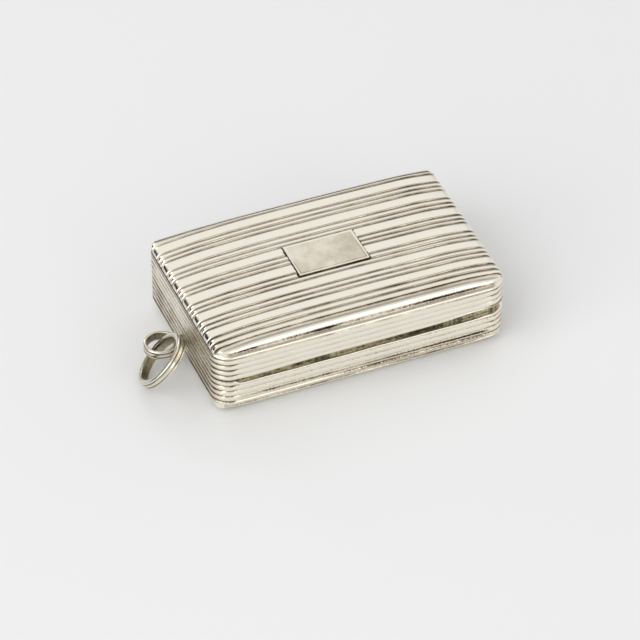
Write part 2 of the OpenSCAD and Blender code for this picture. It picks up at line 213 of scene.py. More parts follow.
def lid_hollows(tree, place):
    """Darkening from the mesh, tarnish with some painted shade, and the dark solder line at both ends of the
    cartouche.
    """
    middle = (PLATE_LOW + PLATE_HIGH) / 2
    half = (PLATE_HIGH - PLATE_LOW) / 2
    off = add(tree, "VectorMath", {0: place}, {1: tuple(middle)}, operation="SUBTRACT")
    off = add(tree, "VectorMath", {0: off}, operation="ABSOLUTE")
    off = add(tree, "VectorMath", {0: off}, {1: tuple(half)}, operation="SUBTRACT")
    axes = add(tree, "SeparateXYZ", {0: off})
    # The line is uneven in blobs of about 0.5 mm
    blobs = add(tree, "TexNoise", {"Vector": place}, {"Scale": 2.2, "Detail": 2.0})
    reach = add(tree, "Math", {0: blobs}, {1: -0.5, 2: 0.2}, operation="MULTIPLY_ADD")
    beside = add(tree, "Math", {0: axes.outputs["X"], 1: reach}, operation="ADD")
    beside = add(tree, "MapRange", {"Value": beside},
                 {"From Min": 0.02, "From Max": 0.16, "To Min": 0.95, "To Max": 0.0})
    within = add(tree, "MapRange", {"Value": axes.outputs["Y"]},
                 {"From Min": 0.02, "From Max": 0.14, "To Min": 1.0, "To Max": 0.0})
    line = add(tree, "Math", {0: beside, 1: within}, operation="MULTIPLY")
    return add(tree, "Math", {0: carved(tree, place), 1: line}, operation="MAXIMUM")


def inner_side(tree, place, reach=1.51):
    """1 inside a rounded outline that lies this far out from the rectangle of the corners' centres."""
    flat = add(tree, "VectorMath", {0: place}, {1: (1, 1, 0)}, operation="MULTIPLY")
    flat = add(tree, "VectorMath", {0: flat}, operation="ABSOLUTE")
    flat = add(tree, "VectorMath", {0: flat}, {1: (RUN_X, RUN_Y, 0)}, operation="SUBTRACT")
    flat = add(tree, "VectorMath", {0: flat}, {1: (0, 0, 0)}, operation="MAXIMUM")
    far = add(tree, "VectorMath", {0: flat}, operation="LENGTH")
    return add(tree, "Math", {0: far.outputs["Value"]}, {1: reach}, operation="LESS_THAN")


def uneven_film(value):
    """A film of tarnish all over, about this strong, uneven over about 1 mm."""
    def make(tree, place):
        cloud = add(tree, "TexNoise", {"Vector": place}, {"Scale": 1.1, "Detail": 3.0})
        return add(tree, "MapRange", {"Value": cloud},
                   {"From Min": 0.3, "From Max": 0.75, "To Min": value * 0.4, "To Max": value * 1.4})
    return make


def worn_gilding(name):
    """Fire gilding over silver: warm satin gold, browner and duller in patches of about 3 mm."""
    material, tree, shader, place = new_material(name)
    patch = add(tree, "TexNoise", {"Vector": place}, {"Scale": 0.35, "Detail": 4.0, "Roughness": 0.65})
    grain = add(tree, "TexNoise", {"Vector": place}, {"Scale": 4.0, "Detail": 3.0})
    both = add(tree, "Mix", {VALUE_A: patch, VALUE_B: grain}, {"Factor": 0.3}, data_type="FLOAT")
    colour = add(tree, "ValToRGB", {"Fac": both})
    set_ramp(colour, GILT)
    gloss = add(tree, "MapRange", {"Value": both},
                {"From Min": 0.3, "From Max": 0.7, "To Min": 0.45, "To Max": 0.22})
    bump = add(tree, "Bump", {"Height": grain}, {"Strength": 0.15, "Distance": SCRATCH_H})
    join(tree, shader, {"Base Color": colour, "Roughness": gloss, "Normal": bump})
    shader.inputs["Metallic"].default_value = 1.0
    return material


def seam_gilding(name):
    """Gilding of the bezel: warm satin gold, with olive and black grime where the slot bares its outside."""
    material, tree, shader, place = new_material(name)
    stretch = add(tree, "Mapping", {"Vector": place}, {"Scale": (0.3, 1.0, 1.2)})
    patch = add(tree, "TexNoise", {"Vector": stretch}, {"Scale": 1.0, "Detail": 5.0, "Roughness": 0.7})
    grain = add(tree, "TexNoise", {"Vector": place}, {"Scale": 3.5, "Detail": 3.0})
    both = add(tree, "Mix", {VALUE_A: patch, VALUE_B: grain}, {"Factor": 0.35}, data_type="FLOAT")
    grime = add(tree, "ValToRGB", {"Fac": both})
    set_ramp(grime, SEAM_GRIME)
    gold = add(tree, "ValToRGB", {"Fac": both})
    set_ramp(gold, GILT)
    # The gold is clean on the inner side, above the slot and towards the back
    axes = add(tree, "SeparateXYZ", {0: place})
    high = add(tree, "MapRange", {"Value": axes.outputs["Z"]}, {"From Min": 5.15, "From Max": 5.3})
    back = add(tree, "MapRange", {"Value": axes.outputs["Y"]}, {"From Min": -6.5, "From Max": -3.5})
    clean = add(tree, "Math", {0: inner_side(tree, place, 1.25), 1: high}, operation="MAXIMUM")
    clean = add(tree, "Math", {0: clean, 1: back}, operation="MAXIMUM")
    colour = add(tree, "Mix", {"Factor": clean, COLOUR_A: grime, COLOUR_B: gold}, data_type="RGBA")
    bump = add(tree, "Bump", {"Height": both}, {"Strength": 0.2, "Distance": 0.05 * MM})
    metal = add(tree, "MapRange", {"Value": clean}, {"To Min": 0.3, "To Max": 0.9})
    gloss = add(tree, "MapRange", {"Value": clean}, {"To Min": 0.5, "To Max": 0.34})
    join(tree, shader, {"Base Color": colour.outputs[COLOUR_OUT], "Normal": bump, "Metallic": metal,
                        "Roughness": gloss})
    return material


def natural_sponge(name):
    """Dried natural sponge: pale straw fibre, matt, with painted shade in its pores of about 0.6 mm."""
    material, tree, shader, place = new_material(name)
    pores = add(tree, "TexVoronoi", {"Vector": place}, {"Scale": 1.6})
    fibre = add(tree, "TexNoise", {"Vector": place}, {"Scale": 3.0, "Detail": 5.0, "Roughness": 0.7})
    # The pores are painted darker as painted shade; the same value drives the bump
    deep = add(tree, "Math", {0: pores.outputs["Distance"], 1: fibre}, operation="MULTIPLY")
    colour = add(tree, "ValToRGB", {"Fac": deep})
    set_ramp(colour, STRAW)
    bump = add(tree, "Bump", {"Height": deep}, {"Strength": 0.8, "Distance": 0.3 * MM})
    join(tree, shader, {"Base Color": colour, "Normal": bump})
    shader.inputs["Roughness"].default_value = 0.95
    shader.inputs["Specular IOR Level"].default_value = 0.2
    return material


lid_silver = worn_silver("silver_reeded_hand_polished", lid_hollows, ragged=0.4)
plate_silver = worn_silver("silver_plate_rubbed", carved, rough=0.2)
base_silver = worn_silver("silver_base_reeded", carved, pits=0.12, ragged=0.35)
lid_wall_silver = worn_silver("silver_lid_wall_reeded", carved, inside=inner_side)
base_wall_silver = worn_silver("silver_base_wall_reeded", carved, inside=inner_side, pits=0.45, ragged=0.45)
hinge_silver = worn_silver("silver_hinge_tube_drawn", uneven_film(0.18))
handled_silver = worn_silver("silver_strip_handled", carved, base=0.14, rough=0.12, stops=STRIP_TARNISH)
gilding = worn_gilding("gilding_fire_worn")
seam_gilt = seam_gilding("gilding_grimed_seam")
sponge_fibre = natural_sponge("sponge_natural_dried")


# Modelling helpers

def extrude(step):
    """Extrudes what is selected by this step, in metres."""
    bpy.ops.mesh.extrude_region_move(TRANSFORM_OT_translate={"value": step})


def draw_line(name, points):
    """A chain of edges: a small plane merged to one corner and extruded from point to point."""
    bpy.ops.object.select_all(action="DESELECT")
    bpy.ops.mesh.primitive_plane_add(size=0.1 * MM, location=(0, 0, 0))
    piece = bpy.context.object
    piece.name = name
    piece.data.name = name
    bpy.ops.object.mode_set(mode="EDIT")
    bpy.ops.mesh.select_mode(type="VERT")
    bpy.ops.mesh.select_all(action="SELECT")
    bpy.ops.mesh.merge(type="CENTER")
    bpy.ops.transform.translate(value=points[0])
    for a, b in zip(points, points[1:]):
        extrude(Vector(b) - Vector(a))
    return piece


def draw_loop(name, points):
    """A closed chain of edges, all of it selected."""
    piece = draw_line(name, points + [points[0]])
    bpy.ops.mesh.select_all(action="SELECT")
    bpy.ops.mesh.remove_doubles(threshold=0.0005 * MM)
    return piece


def new_box(name, size, middle):
    """A box of this size about this place, in edit mode with all of it selected."""
    bpy.ops.object.select_all(action="DESELECT")
    bpy.ops.mesh.primitive_cube_add(size=1 * MM, location=(0, 0, 0))
    piece = bpy.context.object
    piece.name = name
    bpy.ops.object.mode_set(mode="EDIT")
    bpy.ops.mesh.select_all(action="SELECT")
    bpy.ops.transform.resize(value=tuple(size))
    bpy.ops.transform.translate(value=tuple(Vector(middle) * MM))
    return piece


def pick_edges(piece, test):
    """Selects the edges whose two ends pass the test, and stays in edit mode."""
    bpy.ops.mesh.select_all(action="DESELECT")
    bpy.ops.object.mode_set(mode="OBJECT")
    mesh = piece.data
    good = [test(v.co / MM) for v in mesh.vertices]
    for edge in mesh.edges:
        edge.select = all(good[i] for i in edge.vertices)
    for vertex, ok in zip(mesh.vertices, good):
        vertex.select = ok
    bpy.ops.object.mode_set(mode="EDIT")
    bpy.ops.mesh.select_mode(type="EDGE")


def close_up(piece, distance=0.002):
    """Merges corners closer than this, turns the faces outwards and leaves edit mode."""
    bpy.ops.mesh.select_all(action="SELECT")
    bpy.ops.mesh.remove_doubles(threshold=distance * MM)
    bpy.ops.mesh.normals_make_consistent(inside=False)
    bpy.ops.object.mode_set(mode="OBJECT")


def apply_modifier(piece, kind, **settings):
    """Adds a modifier with its settings and applies it."""
    modifier = piece.modifiers.new(kind.lower(), kind)
    for key, value in settings.items():
        setattr(modifier, key, value)
    bpy.context.view_layer.objects.active = piece
    bpy.ops.object.modifier_apply(modifier=modifier.name)


def smooth(value, low, high):
    """0 below the low end, 1 above the high end and a soft step between them."""
    t = min(1.0, max(0.0, (value - low) / (high - low)))
    return t * t * (3 - 2 * t)


def patches(x, places):
    """How much grime soft patches leave at this x. A patch is given as (middle, half width)."""
    return min(1.0, sum(math.exp(-((x - middle) / wide) ** 2) for middle, wide in places))


def keep_hollow(piece, values):
    """Keeps how deep each corner lies as an attribute of the mesh."""
    layer = piece.data.attributes.new("hollow", "FLOAT", "POINT")
    layer.data.foreach_set("value", np.asarray(values, dtype=np.float32))


def finish_piece(piece, body, slot, replaced, *materials):
    """Smooth shading, materials, and the piece's place in the frame."""
    for material in materials:
        piece.data.materials.append(material)
    bpy.ops.object.select_all(action="DESELECT")
    piece.select_set(True)
    bpy.context.view_layer.objects.active = piece
    bpy.ops.object.shade_smooth_by_angle(angle=math.radians(50))
    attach(piece, body)
    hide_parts(*replaced)


# Reeded cushions of the lid and the base

# Grooves across the top, measured along the section from its middle. The lid's are uneven, as in the photo
LID_GROOVES = [8.58, 7.12, 6.39, 5.74, 4.23, 3.43, 2.74, 1.25, 0.53, -0.11, -1.68, -2.44, -3.08, -4.5, -5.26,
               -5.97, -7.3, -8.2, -9.02]
REED_PITCH, REED_STEP = 2.92, 0.7
BASE_GROOVES = [(k + 0.5) * REED_PITCH + j * REED_STEP for k in range(2, -4, -1) for j in (1, 0, -1)]
BASE_GROOVES.append(-10.09)
LID_GROOVE_D, BASE_GROOVE_D = 0.17, 0.13
# Grime on the front roll, as (angle from the top in radians, strength)
LID_GRIME = [(0.0, 0.0), (1.18, 0.0), (1.26, 0.8), (1.4, 0.75), (1.47, 0.2), (1.52, 0.2), (1.571, 0.8)]
BASE_GRIME = [(0.0, 0.0), (1.13, 0.0), (1.2, 0.07), (1.571, 0.07)]
FRONT_PATCHES = [(-12.6, 1.7), (-4.2, 3.8), (8.2, 4.0)]
# How wide a reed falls off to the groove at its front and its back, and how far its darkening reaches up
# there: tarnish by the groove, and painted shade further up the reed's back.
# Reeds that end before this place, by the front roll, have wider backs, and wider painted shade on them
REED_FRONT, REED_BACK, WIDE_BACK = 0.13, 0.44, 0.75
DARK_FRONT, DARK_BACK, WIDE_DARK = 0.11, 0.33, 0.56
WIDE_BEFORE = -7.0
# The lid's back falls over this width. Both its ends are lower than its middle by the first of these shares
# of the cushion's height, and the ring end by the second as well
LID_BACK_FALL = 1.5
LID_CAMBER, LID_END_FALL = 0.16, 0.22
# Slope at which the shoulders pass into the ends
SHOULDER_END = math.radians(9.5)
# The ends: power of their superellipse, depth of their notches as a share of the roll, and how far they reach
END_FULLNESS, END_NOTCH, END_X = 2.15, 0.11, 15.9
# Greatest reach of the cushions' corners from the corner centres, along the box and across it
CORNER_REACH_X, CORNER_REACH_Y = 1.93, 1.72
# Thickness of the cushions' sheet, a little less than in the part
SHEET_T = 0.42
FLAT_STEPS, SHOULDER_STEPS, ROLL_STEPS = 24, 7, 14


def section_curve(fall):
    """The section without its reeds: flat top, round front roll and a back that falls over this width, as
    rows of (length from the middle, y, height over the foot, angle of the face from the upright)."""
    rows = []
    for side, wide in ((-1, ROLL_R), (1, fall)):
        start = FLAT_Y + ROLL_R - wide
        turn = np.linspace(0, math.pi / 2, 80)
        y = start + wide * np.sin(turn)
        h = ROLL_R * np.cos(turn)
        length = start + np.concatenate([[0.0], np.cumsum(np.hypot(np.diff(y), np.diff(h)))])
        angle = np.arctan2((y - start) / wide ** 2, h / ROLL_R ** 2)
        rows += list(zip(side * length, side * y, h, side * angle))
    return np.array(sorted(rows)).T


def reed_points(edges):
    """Points along the section between its edges and grooves: (length, how low in a groove, how dark)."""
    points = []
    for i, (a, b) in enumerate(zip(edges, edges[1:])):
        wide = b - a
        # A reed falls off softly at its back and more steeply at its front
        front = min(REED_FRONT, 0.3 * wide)
        back = min(WIDE_BACK if b < WIDE_BEFORE else REED_BACK, 0.68 * wide)
        dark_back = WIDE_DARK if b < WIDE_BEFORE else DARK_BACK
        count = max(9, int(wide / 0.085))
        for k in range(count):
            # Points lie closer together near the grooves, and the outer edges are no grooves
            t = 0.5 - 0.5 * math.cos(math.pi * k / count)
            from_a = wide * t if i > 0 else math.inf
            to_b = wide * (1 - t) if i < len(edges) - 2 else math.inf
            low = max(0.0, 1 - from_a / front, 1 - to_b / back) ** 2
            # Tarnish at the grooves, and painted shade up the reed's back slope
            dark = max(0.0, 1 - from_a / DARK_FRONT, 1 - to_b / dark_back) ** 1.25
            points.append((a + wide * t, low, dark))
    return points + [(edges[-1], 0.0, 0.0)]


def reed_profile(grooves, depth, grime, fall):
    """The section from the front roll over the reeded top to the back, as (y, height over the foot, hollow,
    low)."""
    lengths, ys, heights, angles = section_curve(fall)
    out = []
    for s, low, dark in reed_points([lengths[0]] + sorted(grooves) + [lengths[-1]]):
        y, h, angle = (np.interp(s, lengths, row) for row in (ys, heights, angles))
        y -= depth * low * math.sin(angle)
        h -= depth * low * math.cos(angle)
        dirt = np.interp(-angle, *zip(*grime)) if s < 0 else 0.0
        out.append((y, max(h, 0.0), max(0.85 * dark, dirt), low))
    return out


def shoulder(angle):
    """Foot place and height of the section tilted by this angle."""
    height = (ROLL_R - SHOULDER_R * (1 - math.cos(angle))) / math.cos(angle)
    return FLAT_X + (SHOULDER_R - height) * math.sin(angle), height


def sweep_cushion(name, section):
    """The section extruded along the flat top, tilted over both shoulders and spun down at the ends."""
    piece = draw_line(name, [(-FLAT_X * MM, y * MM, (LID_FOOT + h) * MM) for y, h, hollow, low in section])
    bpy.ops.mesh.select_all(action="SELECT")
    for step in range(FLAT_STEPS):
        extrude((2 * FLAT_X / FLAT_STEPS * MM, 0, 0))
    for side in (1, -1):
        pick_edges(piece, lambda p: abs(p.x - side * FLAT_X) < TOUCH)
        foot, height = FLAT_X, ROLL_R
        for k in range(1, SHOULDER_STEPS + 1):
            new_foot, new_height = shoulder(SHOULDER_END * k / SHOULDER_STEPS)
            extrude((side * (new_foot - foot) * MM, 0, 0))
            centre = (side * new_foot * MM, 0, LID_FOOT * MM)
            turn = -side * SHOULDER_END / SHOULDER_STEPS
            bpy.ops.transform.rotate(value=turn, orient_axis="Y", center_override=centre)
            grow = new_height / height
            bpy.ops.transform.resize(value=(grow, 1, grow), center_override=centre)
            foot, height = new_foot, new_height
        turn = -side * (math.pi / 2 - SHOULDER_END)
        bpy.ops.mesh.spin(steps=ROLL_STEPS, angle=turn, center=centre, axis=(0, 1, 0))
    bpy.ops.object.mode_set(mode="OBJECT")
    return piece


def wear_cushion(piece, section, depth):
    """Fuller ends with deeper notches, and grooves that are rubbed shallower towards the middle."""
    ys, lows = (np.array(row) for row in zip(*sorted((y, low) for y, h, hollow, low in section)))
    foot, height = shoulder(SHOULDER_END)
    quarter = math.pi / 2
    for v in piece.data.vertices:
        p = v.co / MM
        low = np.interp(p.y, ys, lows)
        over, rise = abs(p.x) - foot, p.z - LID_FOOT
        if over > 0:
            # The ends are fuller than a quarter circle, and the grooves deeper where they run over them
            angle = (math.atan2(over, rise) - SHOULDER_END) / (quarter - SHOULDER_END) * quarter
            if angle > 0 and over + rise > TOUCH:
                sides = abs(math.sin(angle)) ** END_FULLNESS + abs(math.cos(angle)) ** END_FULLNESS
                grow = sides ** (-1 / END_FULLNESS) * (1 - END_NOTCH * low * math.sin(2 * angle))
                v.co.x = math.copysign(foot + over * grow, p.x) * MM
                v.co.z = (LID_FOOT + rise * grow) * MM
        elif abs(p.x) < FLAT_X and abs(p.y) < FLAT_Y:
            # The rubbing is uneven, as by hand
            rubbed = 0.4 * (1 - smooth(abs(p.x), 3.0, 10.5))
            rubbed += 0.22 * noise.noise(Vector((p.x * 0.35, p.y * 1.7, 3.0)))
            v.co.z += depth * low * rubbed * MM


def settle_cushion(piece, camber, end_fall):
    """Lowers the cushion towards its ends, and keeps its corners inside the rounded outline of the walls."""
    for v in piece.data.vertices:
        x, y = v.co.x / MM, v.co.y / MM
        # It falls more at the ring end, and most at the back corner there
        fallen = end_fall * smooth(-x, 6.0, 16.5) * (0.5 + 0.5 * smooth(y, -6.0, 9.0))
        fallen += camber * (x / END_X) ** 2
        v.co.z = LID_FOOT * MM + (v.co.z - LID_FOOT * MM) * (1 - fallen)
        aside = Vector((abs(x) - RUN_X, abs(y) - RUN_Y))
        if min(aside) > 0:
            limit = (CORNER_REACH_X * aside.x ** 2 + CORNER_REACH_Y * aside.y ** 2) / aside.length_squared
            if aside.length > limit:
                aside *= limit / aside.length
                v.co.x = math.copysign(RUN_X + aside.x, x) * MM
                v.co.y = math.copysign(RUN_Y + aside.y, y) * MM


def reeded_cushion(name, grooves, depth, grime, fall, camber=0.0, end_fall=0.0, upside_down=False):
    """A reeded cushion with its hollows, as an open sheet. The base's is made as a lid's and turned over."""
    section = reed_profile(grooves, depth, grime, fall)
    piece = sweep_cushion(name, section)
    wear_cushion(piece, section, depth)
    settle_cushion(piece, camber, end_fall)
    bpy.ops.object.mode_set(mode="EDIT")
    if upside_down:
        bpy.ops.mesh.select_all(action="SELECT")
        bpy.ops.transform.resize(value=(1, 1, -1), center_override=(0, 0, SEAM * MM))
    close_up(piece)
    # An open sheet can come out with its faces turned in
    middle = min(piece.data.polygons, key=lambda face: face.center.to_2d().length)
    if (middle.normal.z < 0) != upside_down:
        bpy.ops.object.mode_set(mode="EDIT")
        bpy.ops.mesh.flip_normals()
        bpy.ops.object.mode_set(mode="OBJECT")
    keep_hollow(piece, section_hollows(piece, section))
    return piece


def section_hollows(piece, section):
    """The tarnish of each corner, by its place across the box, with more or less of it left along the box,
    and painted shade at the groove tips on the right end.
    """
    ys, hollows = zip(*sorted((y, hollow) for y, h, hollow, low in section))
    values = []
    for v in piece.data.vertices:
        p = v.co / MM
        kept = 0.6 + 0.2 * noise.noise(Vector((p.x * 0.3, p.y * 0.9, 7.0)))
        # More is left on the front half, and to the right on the back half
        front = 1 - smooth(p.y, -5.0, 4.0)
        right = smooth(p.x, 3.0, 10.0)
        kept += 0.24 * front * (1 - 0.5 * right) + 0.24 * (1 - front) * right
        # Dark tips where the grooves run over the right end: painted shade, on the end turned away from the
        # main lamp
        kept += 0.4 * smooth(p.x, 14.3, 15.2)
        if p.y < -9.6:
            # Under the front roll the grime is left in three long patches
            kept = 0.42 + 0.85 * patches(p.x, FRONT_PATCHES)
        values.append(np.interp(p.y, ys, hollows) * kept)
    return np.clip(values, 0, 1)


def give_sheet(piece, outside, inside):
    """Thickness of the sheet, with its own material on the inner side."""
    piece.data.materials.append(outside)
    piece.data.materials.append(inside)
    apply_modifier(piece, "SOLIDIFY", thickness=SHEET_T * MM, offset=-1.0, material_offset=1,
                   material_offset_rim=0)


lid_top = reeded_cushion("lid_top_reeded", LID_GROOVES, LID_GROOVE_D, LID_GRIME, LID_BACK_FALL,
                         camber=LID_CAMBER, end_fall=LID_END_FALL)
give_sheet(lid_top, lid_silver, gilding)
finish_piece(lid_top, "lid", "silver", ["lid_top"])

base_plate = reeded_cushion("base_plate_reeded", BASE_GROOVES, BASE_GROOVE_D, BASE_GRIME, ROLL_R,
                            upside_down=True)
give_sheet(base_plate, base_silver, gilding)
finish_piece(base_plate, "base", "silver", ["base_plate"])


# Reeded walls

# Heights from the seam: the wall's top, the grooves between its reeds, its bead's foot and the rim's edge
WALL_TOP = LID_FOOT - SEAM
WALL_REED_H = (WALL_TOP - BEAD_H) / WALL_REEDS
WALL_LINES = [k * WALL_REED_H for k in range(WALL_REEDS + 1)]
BEAD_FOOT = WALL_LINES[-1]
RIM = SEAM_GAP / 2
# Thickness of the walls, and how far their ledge under the cushion's edge reaches in
LID_WALL_T, BASE_WALL_T, LEDGE_T = 0.5, 0.58, 0.95
# Share of the bead's height where it is fullest
BEAD_FULL = 0.45
FRONT_STEPS, BACK_STEPS, END_STEPS, CORNER_STEPS = 56, 20, 16, 14
# Share of the reeds' depth left by rubbing on the front and on the ring end
FRONT_LEFT, RING_END_LEFT = 0.34, 0.55
# Room for the hinge's barrel
HINGE_ROOM_R, HINGE_ROOM_L = BARREL_R + BARREL_CLEAR, HINGE_L + 2 * BARREL_CLEAR
# Old grime on the base's front: height of its broken dark line, and its patches
GRIME_Z = 2.16
BASE_PATCHES = [(-10.4, 0.9), (-5.4, 1.7), (7.2, 3.4), (11.8, 2.2)]


def wall_section(inner):
    """Closed section of a wall this thick: (outwards from the face, height from the seam)."""
    points = []
    for a, b in zip(WALL_LINES, WALL_LINES[1:]):
        for k in range(10):
            t = k / 10
            points.append((-WALL_REED_D * abs(2 * t - 1) ** 2.2, a + (b - a) * t))
    for k in range(11):
        # Bead under the roll, drawn in to the roll's foot
        t = k / 10
        if t < BEAD_FULL:
            out = -WALL_REED_D * (1 - t / BEAD_FULL) ** 2
        else:
            out = -RIM_INSET * ((t - BEAD_FULL) / (1 - BEAD_FULL)) ** 2
        points.append((out, BEAD_FOOT + BEAD_H * t))
    points = [(out, max(h, RIM)) for out, h in points]
    ledge = [(-LEDGE_T, WALL_TOP), (-LEDGE_T, WALL_TOP - 0.12), (-inner, WALL_TOP - 0.25)]
    return [(-0.2, RIM)] + points + ledge + [(-inner, WALL_TOP / 2), (-inner, RIM)]


def seam_opening(p, up):
    """How far a rim stands off the seam: the front's slot opens to the right and closes round the corner."""
    if p.y < -RUN_Y and p.x <= RUN_X:
        if up > 0:
            wide = 0.06 + 0.14 * smooth(p.x, -12.0, -5.0) + 0.32 * smooth(p.x, 7.0, 14.0)
            return wide * smooth(p.x, -13.9, -13.5)
        wide = 0.46 + 0.1 * noise.noise(Vector((p.x * 0.2, 0.0, 1.0)))
        return wide * smooth(p.x, -13.9, -13.4) * (1 - 0.3 * smooth(p.x, 12.0, 14.0))
    if p.x > RUN_X and p.y < -2:
        if up > 0:
            return 0.52 * (1 - smooth(p.y, -8.2, -3.5))
        return 0.32 * (1 - smooth(p.y, -9.0, -4.0))
    return 0.0


def rub_wall(piece, up):
    """Rubs the reeds on the front and the ring end, but not at the corners, and opens the seam's slot."""
    for v in piece.data.vertices:
        p = v.co / MM
        h = up * (p.z - SEAM)
        reeds = h < BEAD_FOOT + 0.01
        if reeds and p.y < 0.2 - FACE_Y and abs(p.x) <= RUN_X:
            left = FRONT_LEFT + (1 - FRONT_LEFT) * smooth(abs(p.x), 13.2, 13.95)
            v.co.y = -(FACE_Y + (-p.y - FACE_Y) * left) * MM
        if reeds and p.x < 0.2 - FACE_X and abs(p.y) <= RUN_Y:
            left = RING_END_LEFT + (1 - RING_END_LEFT) * smooth(abs(p.y), 6.9, 8.1)
            v.co.x = -(FACE_X + (-p.x - FACE_X) * left) * MM
        if h < WALL_REED_H:
            v.co.z += up * seam_opening(p, up) * (1 - (h - RIM) / (WALL_REED_H - RIM)) * MM


def swept_wall(name, up, inner):
    """The section run along the four sides and round the corners, with the hinge's room cut out."""
    piece = draw_loop(name, [(-RUN_X * MM, -(FACE_Y + out) * MM, (SEAM + up * h) * MM)
                             for out, h in wall_section(inner)])
    # Each run: its way, its steps, the corner at its end, and a test for where the next run starts
    runs = [
        ((2 * RUN_X, 0, 0), FRONT_STEPS, (RUN_X, -RUN_Y),
         lambda p: abs(p.y + RUN_Y) < TOUCH and p.x > RUN_X),
        ((0, 2 * RUN_Y, 0), END_STEPS, (RUN_X, RUN_Y),
         lambda p: abs(p.x - RUN_X) < TOUCH and p.y > RUN_Y),
        ((-2 * RUN_X, 0, 0), BACK_STEPS, (-RUN_X, RUN_Y),
         lambda p: abs(p.y - RUN_Y) < TOUCH and p.x < -RUN_X),
        ((0, -2 * RUN_Y, 0), END_STEPS, (-RUN_X, -RUN_Y), None),
    ]
    for way, steps, (x, y), ahead in runs:
        for k in range(steps):
            extrude(Vector(way) / steps * MM)
        bpy.ops.mesh.spin(steps=CORNER_STEPS, angle=-math.pi / 2, center=(x * MM, y * MM, 0), axis=(0, 0, 1))
        if ahead:
            pick_edges(piece, ahead)
    close_up(piece)
    rub_wall(piece, up)
    bpy.ops.object.select_all(action="DESELECT")
    bpy.ops.mesh.primitive_cylinder_add(vertices=48, radius=HINGE_ROOM_R * MM, depth=HINGE_ROOM_L * MM,
                                        location=(0, HINGE_Y * MM, SEAM * MM), rotation=(0, math.pi / 2, 0))
    cutter = bpy.context.object
    apply_modifier(piece, "BOOLEAN", object=cutter, operation="DIFFERENCE", solver="EXACT")
    bpy.data.objects.remove(cutter)
    return piece


def wall_hollows(piece, up):
    """Tarnish between the reeds: strong at the ends and corners, faint on the rubbed front, with painted
    shade on the ends.
    """
    lid = up > 0
    values = []
    for v in piece.data.vertices:
        p = v.co / MM
        h = up * (p.z - SEAM)
        line = max(0.0, 1 - min(abs(h - groove) for groove in WALL_LINES[1:]) / 0.2) ** 1.2
        # The back counts as half a front
        front = (1 - smooth(abs(p.x), 13.3, 14.2)) * (1.0 if p.y < 0 else 0.5)
        ring_end = smooth(-p.x, 15.2, 15.8) * (1 - smooth(abs(p.y), 6.9, 8.1))
        if h > 2.6:
            # The hollow by the bead keeps its grime on the front too
            kept = 0.85 - (0.35 if lid else 0.6) * front
        else:
            kept = 0.85 - (0.58 if lid else 0.54) * front
            kept -= (0.3 + 0.25 * noise.noise(Vector((p.y * 0.35, h * 1.9, 5.0)))) * ring_end
        # A thin film of tarnish on the ends, with painted shade mixed in: fainter on the lid's ring end and
        # stronger on the base's, nearer the floor; and a dark line along the seam, but not on the front
        film_and_shade = (0.2 + (-0.08 if lid else 0.09) * ring_end) * smooth(abs(p.x), 15.2, 15.9)
        film_and_shade = max(film_and_shade, 0.95 * max(0.0, 1 - h / 0.26) * (1 - front))
        grime = 0.0
        if not lid:
            # Old grime on the base's front: a broken dark line, and mottles under it to the right
            grime = max(0.0, 1 - abs(p.z - GRIME_Z) / 0.2) * (0.5 + 0.7 * patches(p.x, BASE_PATCHES)) * front
            mottles = (1 - smooth(p.z, 1.8, 2.0)) * (0.03 + 0.33 * smooth(p.x, -5.0, 0.0))
            film_and_shade = max(film_and_shade, mottles * front)
        values.append(min(1.0, max(line * kept + film_and_shade, grime)))
    return values


for name, up, inner, body, node, material in (
        ("lid_wall_reeded", 1, LID_WALL_T, "lid", "lid_wall", lid_wall_silver),
        ("base_wall_reeded", -1, BASE_WALL_T, "base", "base_wall", base_wall_silver)):
    wall = swept_wall(name, up, inner)
    keep_hollow(wall, wall_hollows(wall, up))
    finish_piece(wall, body, "silver", [node], material)


# Cartouche

# Insets of the plate's raised edge, as (width, depth), and the bevel of its outer edges
PLATE_INSETS = [(0.1, 0.0), (0.16, -0.012), (0.06, 0.0)]
PLATE_BEVEL = 0.05
# Places across the edge: its outer side, the dark line along the front, and where the field begins
PLATE_SIDE, PLATE_LINE, PLATE_FIELD = 0.03, 0.2, 0.28


def plate_hollow(p):
    """Tarnish of the plate: dark low on its sides and along its front edge, a light film on its field."""
    side = min(p.x - PLATE_LOW.x, PLATE_HIGH.x - p.x, p.y - PLATE_LOW.y, PLATE_HIGH.y - p.y)
    if side < PLATE_SIDE:
        high = (p.z - PLATE_LOW.z) / (PLATE_HIGH.z - PLATE_LOW.z)
        return min(1.0, max(0.1, 1.1 * (1 - high)))
    if side < PLATE_FIELD:
        return 0.62 if PLATE_LINE < p.y - PLATE_LOW.y < PLATE_FIELD else 0.02
    return 0.27


def cartouche_plate():
    """Thin plate with a soft raised edge, set among the reeds."""
    piece = new_box("cartouche_plain", PLATE_HIGH - PLATE_LOW, (PLATE_HIGH + PLATE_LOW) / 2)
    bpy.ops.mesh.select_all(action="DESELECT")
    bpy.ops.object.mode_set(mode="OBJECT")
    for face in piece.data.polygons:
        face.select = face.normal.z > 0.9
    bpy.ops.object.mode_set(mode="EDIT")
    bpy.ops.mesh.select_mode(type="FACE")
    for wide, depth in PLATE_INSETS:
        bpy.ops.mesh.inset(thickness=wide * MM, depth=depth * MM)
    bpy.ops.object.mode_set(mode="OBJECT")
    apply_modifier(piece, "BEVEL", width=PLATE_BEVEL * MM, segments=3, limit_method="ANGLE")
    bpy.ops.object.mode_set(mode="EDIT")
    close_up(piece, 0.0005)
    keep_hollow(piece, [plate_hollow(v.co / MM) for v in piece.data.vertices])
    finish_piece(piece, "lid", "silver", ["cartouche"], plate_silver)


cartouche_plate()


# Eye and jump ring

